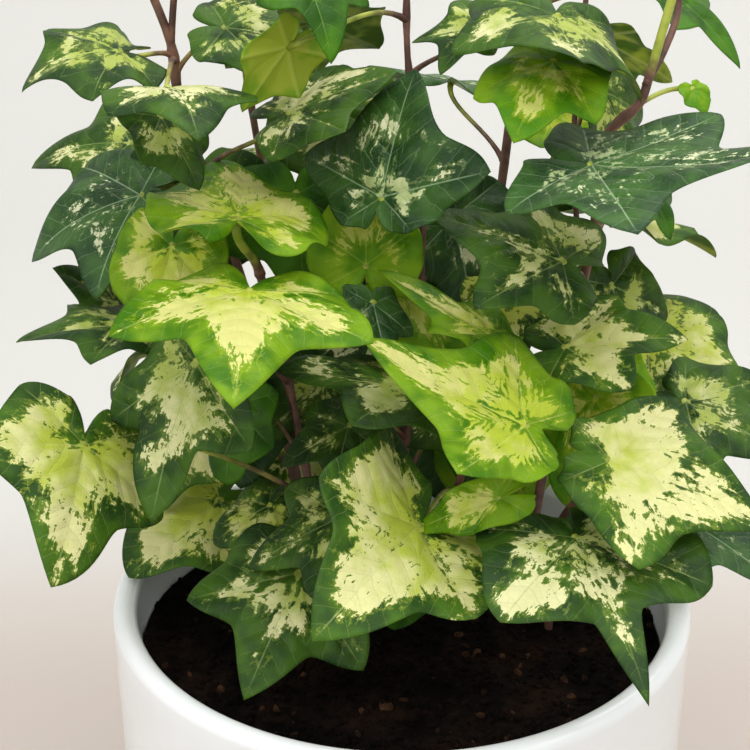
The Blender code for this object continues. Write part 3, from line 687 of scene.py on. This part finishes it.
# A closed thin leaf with dipped veins, swollen tissue and a waved margin
def makeLeaf(name, shape, look, seed):
    style, joint, length, heading, pitch, roll, droop, cup, width = shape
    angles = np.radians(outlineAngles(style))
    uneven = 1 + detail["unevenBroad"] * np.sin(3 * angles + seed)
    uneven = uneven + detail["unevenFine"] * np.sin(7 * angles + 2.3 * seed)
    reach = np.array([reachAt(style, abs(math.degrees(a))) for a in angles]) * uneven * length
    shares = (np.arange(1, detail["rings"] + 1) / detail["rings"]) ** detail["ringPower"]
    rho = shares[:, None] * reach[None, :]
    x = np.sin(angles)[None, :] * rho * width
    y = np.cos(angles)[None, :] * rho
    edge = np.repeat(shares[:, None], len(angles), axis=1)
    along, across = veinDistances(style, x, y, width)
    inward = np.hypot(x[..., None] - x[-1], y[..., None] - y[-1]).min(axis=-1)

    z = bladeRelief(x, y, across, edge, angles, length, seed)
    top = np.stack(bent(x * mm, y * mm, z * mm, length * mm, droop, cup), -1)
    centre = np.array([[0, 0, -(detail["veinDip"] + detail["pillow"] * detail["sink"]) * mm]])
    underCentre = centre - np.array([[0, 0, detail["thickness"]]])
    points = np.concatenate([centre, top.reshape(-1, 3),
                             underCentre, underside(top, edge).reshape(-1, 3)])
    points = points @ np.array(leafTurn(heading, pitch, roll).to_3x3()).T + np.array(fromRim(joint))

    faces, backs = bladeFaces(*edge.shape)
    obj = meshObject(name, points.tolist(), faces + backs, leafFaces[look])
    obj.data.polygons.foreach_set("material_index", [0] * len(faces) + [1] * len(backs))

    flat = np.concatenate([[[0, 0, 0]], np.stack([x, y, x * 0], -1).reshape(-1, 3)])
    flat[:, 2] = seed * detail["seedApart"]
    vein = np.concatenate([[[0, 0, inward.max()]],
                           np.stack([along, across, inward], -1).reshape(-1, 3)])
    setAttribute(obj, "flatPlace", np.concatenate([flat, flat]))
    setAttribute(obj, "veinPlace", np.concatenate([vein, vein]))
    return obj


allLeaves = {**leaves, **innerLeaves}
for number, (name, (*shape, look, _, _)) in enumerate(allLeaves.items()):
    seed = number * detail["seedStep"] + detail["seedStart"]
    leaf = makeLeaf(f"{name}_blade", shape, look, seed)
    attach(leaf, "root")
    if name in leaves:
        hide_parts(name)
print("leaves made")


# Stems and leaf stalks

bark = {
    "blotchScale": 160.0,    # per metre, so about 6 mm across
    "fineScale": 900.0,      # about 1 mm
    "old": ("#4A3028", "#7A5546"),
    "oldEnds": (0.35, 0.65),
    "fresh": ("#7F8E28", "#A9B145"),
    "freshEnds": (0.4, 0.62),
    "youthEnds": (0.3, 0.75),        # between these, old bark turns fresh
    "youthBlotch": 0.5,      # how much the blotches shift that
    "rough": 0.5,
    "bump": 0.2 * mm,
    "bumpStrength": 0.4,
}


# Smooth red-brown young bark that turns green-yellow along the leaf stalks
def stemMaterial():
    material, tree = newMaterial("young_ivy_bark")
    marks = addNode(tree, "ShaderNodeAttribute", {"attribute_name": "stemPlace"})["Vector"]
    youth = addNode(tree, "ShaderNodeSeparateXYZ", {}, (marks,))[0]
    spot = addNode(tree, "ShaderNodeTexCoord")["Object"]
    blotch = addNode(tree, "ShaderNodeTexNoise", {}, {
        "Vector": spot, "Scale": bark["blotchScale"], "Detail": 3.0, "Roughness": 0.6})[0]
    fine = addNode(tree, "ShaderNodeTexNoise", {}, {"Vector": spot, "Scale": bark["fineScale"]})[0]
    old = twoTone(tree, blotch, *bark["oldEnds"], *map(linear, bark["old"]))
    fresh = twoTone(tree, blotch, *bark["freshEnds"], *map(linear, bark["fresh"]))
    youth = addNode(tree, "ShaderNodeMath", {"operation": "SUBTRACT"},
                    (youth, bark["youthBlotch"] / 2))[0]
    youth = weighted(tree, youth, (blotch, bark["youthBlotch"]))
    colour = twoTone(tree, youth, *bark["youthEnds"], old, fresh)
    height = weighted(tree, blotch, (fine, 0.5))
    normal = addNode(tree, "ShaderNodeBump", {}, {
        "Strength": bark["bumpStrength"], "Distance": bark["bump"], "Height": height})[0]
    finishSurface(tree, {"Base Color": colour, "Roughness": bark["rough"], "Normal": normal})
    return material


tubeShape = {
    "sides": 14,
    "branchThick": 0.8,          # a side run's radius as a share of the main run's
    "footThick": 1.04,           # share of the given radius at the soil
    "topThinning": 0.24,         # share that is gone at the top
    "nodeSwell": 0.30 * mm,      # bulge of a stem where a stalk leaves it
    "nodeLength": 1.8 * mm,
    "stalkRadius": 0.52 * mm,
    "stalkSwell": 0.35 * mm,     # thicker at both ends of a stalk
    "stalkSteps": 14,
    "stalkReach": 0.35,          # how far a stalk keeps its first and last direction
    "stalkLift": 0.6,            # how steeply it leaves its stem
    "stalkEnd": (0, -0.8, -0.6),     # where it comes from, seen from the blade
    "underJoint": 0.7 * mm,
    "stemGreenFrom": 0.35,       # share of the height where bark starts to turn green
    "stemGreen": 0.6,            # how fast it does so
    "greenSpan": 12 * mm,
    "stalkGreen": (0.15, 0.6),   # how green a stalk is at its stem, and how much more at its leaf
    "paleStalkGreen": 0.95,      # that second number under a pale leaf
}
thickStalks = {"leaf_left_2": 0.4 * mm}          # added to that stalk's radius
freshAbove = {"stem_right_tall": 113 * mm}       # height over the rim where bark turns green


# A Catmull-Rom curve through points
def smoothRoute(points, steps=5):
    route = []
    last = len(points) - 1
    for i in range(last):
        p0, p1 = points[max(i - 1, 0)], points[i]
        p2, p3 = points[i + 1], points[min(i + 2, last)]
        for step in range(steps):
            t = step / steps
            route.append(0.5 * (2 * p1 + (p2 - p0) * t + (2 * p0 - 5 * p1 + 4 * p2 - p3) * t * t
                                + (3 * p1 - p0 - 3 * p2 + p3) * t ** 3))
    route.append(points[-1])
    return route


def pointAtHeight(route, height):
    for a, b in zip(route, route[1:]):
        if a.z <= height <= b.z:
            return a.lerp(b, (height - a.z) / (b.z - a.z))
    return route[-1].copy()


# Adds a closed round tube along a route to the lists of a mesh
def sweep(route, radii, youth, points, faces, marks):
    sides = tubeShape["sides"]
    first = len(points)
    across = Vector((1, 0, 0))
    for i, (middle, radius) in enumerate(zip(route, radii)):
        ahead = route[min(i + 1, len(route) - 1)] - route[max(i - 1, 0)]
        ahead.normalize()
        across = (across - ahead * across.dot(ahead)).normalized()
        beside = ahead.cross(across)
        for s in range(sides):
            turn = 2 * math.pi * s / sides
            points.append(middle + (across * math.cos(turn) + beside * math.sin(turn)) * radius)
            marks.append((youth[i], turn, 0))
    for i in range(len(route) - 1):
        a, b = first + i * sides, first + (i + 1) * sides
        for s in range(sides):
            n = (s + 1) % sides
            faces.append((a + s, a + n, b + n, b + s))
    faces.append(tuple(reversed(range(first, first + sides))))
    top = first + (len(route) - 1) * sides
    faces.append(tuple(range(top, top + sides)))


# A stalk's curve from its stem to just under the blade's joint
def stalkRoute(start, shape):
    turn = leafTurn(*shape[3:6]).to_3x3()
    end = fromRim(shape[1]) + turn @ Vector((0, 0, -tubeShape["underJoint"]))
    span = (end - start).length * tubeShape["stalkReach"]
    behind = (turn @ Vector(tubeShape["stalkEnd"])).normalized()
    leave = ((end - start).normalized() + Vector((0, 0, tubeShape["stalkLift"]))).normalized()
    knots = (start, start + leave * span, end + behind * span, end)
    route = []
    for i in range(tubeShape["stalkSteps"] + 1):
        t = i / tubeShape["stalkSteps"]
        weights = ((1 - t) ** 3, 3 * t * (1 - t) ** 2, 3 * t * t * (1 - t), t ** 3)
        route.append(sum((k * w for k, w in zip(knots, weights)), Vector()))
    return route


def makeStem(name, radius, runs, material):
    points, faces, marks = [], [], []
    routes = [smoothRoute([fromRim(p) for p in run]) for run in runs]
    stalks = []
    for leafName, (*shape, look, stemName, height) in allLeaves.items():
        if stemName == name:
            start = pointAtHeight(routes[0], rimHeight + height * mm)
            stalks.append((start, shape, look, thickStalks.get(leafName, 0)))
    fresh = freshAbove.get(name)
    for number, route in enumerate(routes):
        thick = radius * mm * (1 if number == 0 else tubeShape["branchThick"])
        radii, youth = [], []
        for spot in route:
            rise = (spot.z - soilTop) / (cadBox[1][2] - soilTop)
            swell = sum(math.exp(-((spot - s[0]).length / tubeShape["nodeLength"]) ** 2) for s in stalks)
            thinned = tubeShape["footThick"] - tubeShape["topThinning"] * max(rise, 0)
            radii.append(thick * thinned + tubeShape["nodeSwell"] * min(swell, 1))
            greener = (spot.z - rimHeight - fresh) / tubeShape["greenSpan"] if fresh and number == 0 else 0
            upper = (rise - tubeShape["stemGreenFrom"]) * tubeShape["stemGreen"]
            youth.append(max(0.0, upper, min(greener, 1)))
        sweep(route, radii, youth, points, faces, marks)
    for start, shape, look, extra in stalks:
        route = stalkRoute(start, shape)
        shares = [i / (len(route) - 1) for i in range(len(route))]
        radii = [tubeShape["stalkRadius"] + extra + tubeShape["stalkSwell"] * abs(2 * t - 1) ** 4
                 for t in shares]
        first, more = tubeShape["stalkGreen"]
        if look in ("lime", "young", "cream"):
            more = tubeShape["paleStalkGreen"]
        sweep(route, radii, [first + more * t ** 0.7 for t in shares], points, faces, marks)
    obj = meshObject(f"{name}_bark", [tuple(p) for p in points], faces, [material])
    setAttribute(obj, "stemPlace", marks)
    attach(obj, "root")
    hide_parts(name)


barkMaterial = stemMaterial()
for name, (radius, runs) in stems.items():
    makeStem(name, radius, runs, barkMaterial)
print("stems made")


# Pot

# A closed turned body from its profile, whose ends lie on the axis or meet
def lathe(name, profile, segments, materials):
    points, faces, rows = [], [], []
    for x, z in profile:
        if x < 1e-7:
            rows.append([len(points)])
            points.append((0, 0, z))
            continue
        rows.append(list(range(len(points), len(points) + segments)))
        for s in range(segments):
            turn = 2 * math.pi * s / segments
            points.append((x * math.cos(turn), x * math.sin(turn), z))
    for a, b in zip(rows, rows[1:]):
        for s in range(segments):
            n = (s + 1) % segments
            if len(a) == 1 and len(b) == 1:
                continue
            if len(a) == 1:
                faces.append((a[0], b[s], b[n]))
            elif len(b) == 1:
                faces.append((a[s], b[0], a[n]))
            else:
                faces.append((a[s], b[s], b[n], a[n]))
    return meshObject(name, points, faces, materials)


def corner(centreX, centreZ, radius, start, end, steps=10):
    turns = [math.radians(start + (end - start) * i / steps) for i in range(steps + 1)]
    return [(centreX + radius * math.cos(t), centreZ + radius * math.sin(t)) for t in turns]


pot = {
    "footRadius": 62 * mm,
    "wall": 5.4 * mm,
    "base": 7 * mm,
    "lipRound": 2.6 * mm,
    "footRound": 6 * mm,
    "innerRound": 5 * mm,
    "segments": 192,
    "wallRows": 24,
}
glaze = {
    "colours": ("#E6E9EA", "#EEF0F1"),
    "colourEnds": (0.3, 0.7),
    "cloudScale": 22.0,      # per metre, so clouds about 45 mm across
    "skinScale": 700.0,      # orange peel about 1.4 mm across
    "smoothest": 0.2,
    "roughSpan": 0.12,
    "specular": 0.5,
    "coat": 0.25,
    "coatRough": 0.12,
    "bump": 0.2 * mm,
    "bumpStrength": 0.1,
}
slope = (rimRadius - pot["footRadius"]) / rimHeight


# White glaze over clay: satin, very slightly uneven, with a faint orange-peel skin
def glazeMaterial():
    material, tree = newMaterial("satin_white_glaze")
    spot = addNode(tree, "ShaderNodeTexCoord")["Object"]
    cloud = addNode(tree, "ShaderNodeTexNoise", {}, {
        "Vector": spot, "Scale": glaze["cloudScale"], "Detail": 3.0})[0]
    skin = addNode(tree, "ShaderNodeTexNoise", {}, {"Vector": spot, "Scale": glaze["skinScale"]})[0]
    colour = twoTone(tree, cloud, *glaze["colourEnds"], *map(linear, glaze["colours"]))
    rough = weighted(tree, glaze["smoothest"], (cloud, glaze["roughSpan"]))
    height = weighted(tree, skin, (cloud, 0.6))
    normal = addNode(tree, "ShaderNodeBump", {}, {
        "Strength": glaze["bumpStrength"], "Distance": glaze["bump"], "Height": height})[0]
    finishSurface(tree, {"Base Color": colour, "Roughness": rough, "Normal": normal,
                         "Specular IOR Level": glaze["specular"], "Coat Weight": glaze["coat"],
                         "Coat Roughness": glaze["coatRough"]})
    return material


# From the middle of the inner floor over the lip to the middle of the foot
def potProfile():
    lip = pot["lipRound"]
    footX = pot["footRadius"] + slope * pot["footRound"] - pot["footRound"]
    innerTop = rimRadius - pot["wall"]
    innerFoot = pot["footRadius"] - pot["wall"] - pot["innerRound"]
    top = corner(rimRadius - lip, rimHeight - lip, lip, 90, 0)
    foot = corner(footX, pot["footRound"], pot["footRound"], 0, -90)
    profile = [(0, 0)] + list(reversed(foot))
    (footStart, footEnd), (lipStart, lipEnd) = foot[0], top[-1]
    for i in range(1, pot["wallRows"]):
        t = i / pot["wallRows"]
        profile.append((footStart + (lipStart - footStart) * t, footEnd + (lipEnd - footEnd) * t))
    profile += list(reversed(top))
    profile += corner(innerTop + lip, rimHeight - lip, lip, 90, 180)
    profile += corner(innerFoot, pot["base"] + pot["innerRound"], pot["innerRound"], 0, -90)
    profile.append((0, pot["base"]))
    clean = [profile[0]]
    for p in profile[1:]:
        if math.dist(p, clean[-1]) > 1e-6:
            clean.append(p)
    return list(reversed(clean))


potBody = lathe("pot_body", potProfile(), pot["segments"], [glazeMaterial()])
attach(potBody, "root")
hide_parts("pot")
print("pot made")


# Soil

soil = {
    "rows": 40,
    "segments": 160,
    "depth": 16 * mm,
    "lump": 1.1 * mm,
    "lumpWaves": 9,
    "gap": 0.4 * mm,         # between the soil and the pot
    "taper": 0.5 * mm,       # how much narrower it is at its foot
    "grainScale": 420.0,     # per metre, so about 2.4 mm
    "broadScale": 60.0,      # about 17 mm
    "damp": ("#060302", "#22150D"),
    "dampRough": 0.9,
    "dry": ("#24160E", "#5A3C28"),
    "dryRough": 0.8,
    "colourEnds": (0.48, 0.72),
    "specular": 0.1,
    "bump": 0.6 * mm,
    "bumpStrength": 0.9,
}

# Loose pieces on the soil: how many over the pot's whole mouth, and their radii
crumbs = {
    "soil_crumbs": {"count": 2300, "small": 0.35 * mm, "large": 1.3 * mm, "seed": 7, "flat": 0.8},
    "bark_chips": {"count": 210, "small": 0.4 * mm, "large": 1.5 * mm, "seed": 8, "flat": 0.45},
}


# Moist potting soil, nearly black with browner dry specks, and drier chips of bark
def soilMaterial(name, colours, rough):
    material, tree = newMaterial(name)
    spot = addNode(tree, "ShaderNodeTexCoord")["Object"]
    grain = addNode(tree, "ShaderNodeTexNoise", {}, {
        "Vector": spot, "Scale": soil["grainScale"], "Detail": 4.0, "Roughness": 0.7})[0]
    broad = addNode(tree, "ShaderNodeTexNoise", {}, {"Vector": spot, "Scale": soil["broadScale"]})[0]
    mixed = addNode(tree, "ShaderNodeMath", multiply, (grain, 0.5))[0]
    mixed = weighted(tree, mixed, (broad, 0.6))
    colour = twoTone(tree, mixed, *soil["colourEnds"], *map(linear, colours))
    normal = addNode(tree, "ShaderNodeBump", {}, {
        "Strength": soil["bumpStrength"], "Distance": soil["bump"], "Height": grain})[0]
    finishSurface(tree, {"Base Color": colour, "Roughness": rough, "Normal": normal,
                         "Specular IOR Level": soil["specular"]})
    return material


def makeSoil(material):
    radius = rimRadius - pot["wall"] - (rimHeight - soilTop) * slope - soil["gap"]
    foot = soilTop - soil["depth"]
    profile = [(radius * i / soil["rows"], soilTop - soil["lump"]) for i in range(soil["rows"] + 1)]
    profile += [(radius - soil["taper"], foot), (0, foot)]
    body = lathe("soil_bed", profile, soil["segments"], [material])
    coords = np.array([v.co for v in body.data.vertices])
    top = coords[:, 2] > soilTop - 2 * soil["lump"]
    lump = np.zeros(len(coords))
    for i in range(soil["lumpWaves"]):
        angle, size = i * 2.4, (1.6 + 1.1 * i) * mm
        lump += np.sin((coords[:, 0] * math.cos(angle) + coords[:, 1] * math.sin(angle)) / size + i)
    coords[top, 2] += soil["lump"] * (lump[top] / soil["lumpWaves"] * 1.6 + 0.1)
    body.data.vertices.foreach_set("co", coords.ravel())
    body.data.update()
    return body


# Rough crumbs scattered over a body's upward faces, with their sizes as named inputs
def crumbTree(name, material):
    tree = bpy.data.node_groups.new(name, "GeometryNodeTree")
    for key, kind in (("Ground", "Geometry"), ("Density", "Float"), ("Seed", "Int"),
                      ("Smallest", "Float"), ("Largest", "Float"), ("Flatness", "Float")):
        tree.interface.new_socket(key, in_out="INPUT", socket_type=f"NodeSocket{kind}")
    tree.interface.new_socket("Crumbs", in_out="OUTPUT", socket_type="NodeSocketGeometry")
    inputs = addNode(tree, "NodeGroupInput")

    normal = addNode(tree, "GeometryNodeInputNormal")[0]
    upward = addNode(tree, "ShaderNodeSeparateXYZ", {}, (normal,))[2]
    isUpward = addNode(tree, "ShaderNodeMath", {"operation": "GREATER_THAN"}, (upward, 0.3))[0]
    scatter = addNode(tree, "GeometryNodeDistributePointsOnFaces", {}, {
        "Mesh": inputs["Ground"], "Selection": isUpward, "Density": inputs["Density"],
        "Seed": inputs["Seed"]})[0]
    ball = addNode(tree, "GeometryNodeMeshIcoSphere", {}, {"Radius": 1.0, "Subdivisions": 2})[0]
    spot = addNode(tree, "GeometryNodeInputPosition")[0]
    rough = addNode(tree, "ShaderNodeTexNoise", {}, {"Vector": spot, "Scale": 1.4})[0]
    shift = addNode(tree, "ShaderNodeVectorMath", {"operation": "SCALE"}, {
        0: spot, "Scale": weighted(tree, -0.65, (rough, 1.3))})[0]
    crumb = addNode(tree, "GeometryNodeSetPosition", {}, {"Geometry": ball, "Offset": shift})[0]
    turn = addNode(tree, "FunctionNodeRandomValue", {"data_type": "FLOAT_VECTOR"}, {
        1: (6.28, 6.28, 6.28), "Seed": inputs["Seed"]})[0]
    size = addNode(tree, "FunctionNodeRandomValue", {"data_type": "FLOAT"}, {
        2: inputs["Smallest"], 3: inputs["Largest"], "Seed": inputs["Seed"]})[1]
    deep = addNode(tree, "ShaderNodeMath", multiply, (size, 0.75))[0]
    high = addNode(tree, "ShaderNodeMath", multiply, (size, inputs["Flatness"]))[0]
    scale = addNode(tree, "ShaderNodeCombineXYZ", {}, (size, deep, high))[0]
    placed = addNode(tree, "GeometryNodeInstanceOnPoints", {}, {
        "Points": scatter, "Instance": crumb, "Rotation": turn, "Scale": scale})[0]
    real = addNode(tree, "GeometryNodeRealizeInstances", {}, (placed,))[0]
    painted = addNode(tree, "GeometryNodeSetMaterial", {}, {"Geometry": real, "Material": material})[0]
    addNode(tree, "NodeGroupOutput", {}, (painted,))
    return tree


def growCrumbs(name, ground, material, facts):
    holder = place(bpy.data.objects.new(f"{name}_maker", ground.data))
    grow = holder.modifiers.new("grow", "NODES")
    grow.node_group = crumbTree(name, material)
    values = {"Density": facts["count"] / (math.pi * rimRadius ** 2), "Seed": facts["seed"],
              "Smallest": facts["small"], "Largest": facts["large"], "Flatness": facts["flat"]}
    for key, value in values.items():
        grow[grow.node_group.interface.items_tree[key].identifier] = value
    bpy.context.view_layer.update()
    graph = bpy.context.evaluated_depsgraph_get()
    mesh = bpy.data.meshes.new_from_object(holder.evaluated_get(graph))
    bpy.data.objects.remove(holder, do_unlink=True)
    mesh.name = name
    obj = place(bpy.data.objects.new(name, mesh))
    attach(obj, "root")


dampSoil = soilMaterial("moist_potting_soil", soil["damp"], soil["dampRough"])
drySoil = soilMaterial("dry_bark_chips", soil["dry"], soil["dryRough"])
soilBed = makeSoil(dampSoil)
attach(soilBed, "root")
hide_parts("soil")
for name, material in (("soil_crumbs", dampSoil), ("bark_chips", drySoil)):
    growCrumbs(name, soilBed, material, crumbs[name])
print("soil made")


# Floor, light and camera

backdrop = {                 # in metres
    "front": -0.9,
    "bend": 0.5,             # where the floor starts to curve up
    "bendRadius": 0.35,
    "top": 1.6,
    "halfWidth": 1.6,
    "colours": ("#B7ACA4", "#C5C4C0"),
    "rough": 0.8,
    "fade": (0.12, 0.27),    # the table's colour runs into the wall's between these depths
}


# A pale warm table that curves up into a cooler pale wall
def sweepFloor():
    bend, radius, across = backdrop["bend"], backdrop["bendRadius"], backdrop["halfWidth"]
    turns = [math.radians(a) for a in range(8, 91, 8)]
    rows = [(backdrop["front"], 0.0), (bend, 0.0)]
    rows += [(bend + radius * math.sin(t), radius * (1 - math.cos(t))) for t in turns]
    rows += [(bend + radius, backdrop["top"])]
    points = [(x, y, z) for y, z in rows for x in (-across, across)]
    faces = [(2 * i, 2 * i + 1, 2 * i + 3, 2 * i + 2) for i in range(len(rows) - 1)]
    material, tree = newMaterial("plain_pale_backdrop")
    spot = addNode(tree, "ShaderNodeTexCoord")["Object"]
    depth = addNode(tree, "ShaderNodeSeparateXYZ", {}, (spot,))[1]
    colour = twoTone(tree, depth, *backdrop["fade"], *map(linear, backdrop["colours"]))
    finishSurface(tree, {"Base Color": colour, "Roughness": backdrop["rough"]})
    meshObject("backdrop", points, faces, [material])


sweepFloor()

lights = {                   # metres and watts
    "key": {"at": (0.25, -0.35, 1.3), "size": 1.4, "power": 15},
    "fill": {"at": (-0.9, -0.6, 0.9), "size": 1.0, "power": 5},
    "back": {"at": (0.35, 0.75, 1.2), "size": 0.8, "power": 7},
}
centre = Vector((0, 0, rimHeight + 40 * mm))
for name, facts in lights.items():
    lamp = bpy.data.lights.new(name, "AREA")
    lamp.size = facts["size"]
    lamp.energy = facts["power"]
    lampObject = place(bpy.data.objects.new(name, lamp))
    lampObject.location = facts["at"]
    lampObject.rotation_euler = (centre - Vector(facts["at"])).to_track_quat("-Z", "Y").to_euler()

room = {"colour": "#F5F6F4", "strength": 0.85}
world = bpy.data.worlds.new("soft_room")
world.use_nodes = True
light = world.node_tree.nodes["Background"].inputs
light[0].default_value = linear(room["colour"])
light[1].default_value = room["strength"]
scene.world = world

view = {"lens": 100, "sensor": 36, "down": 26, "distance": 448 * mm,
        "aim": Vector((-6 * mm, 0, rimHeight + 54 * mm))}
camera = place(bpy.data.objects.new("camera", bpy.data.cameras.new("camera")))
camera.data.lens = view["lens"]
camera.data.sensor_width = view["sensor"]
camera.data.clip_start = 0.01
down = math.radians(view["down"])
camera.location = view["aim"] - view["distance"] * Vector((0, math.cos(down), -math.sin(down)))
camera.rotation_euler = (math.radians(90) - down, 0, 0)
scene.camera = camera
scene.view_settings.view_transform = "Standard"

bpy.context.view_layer.update()
print("scene ready")
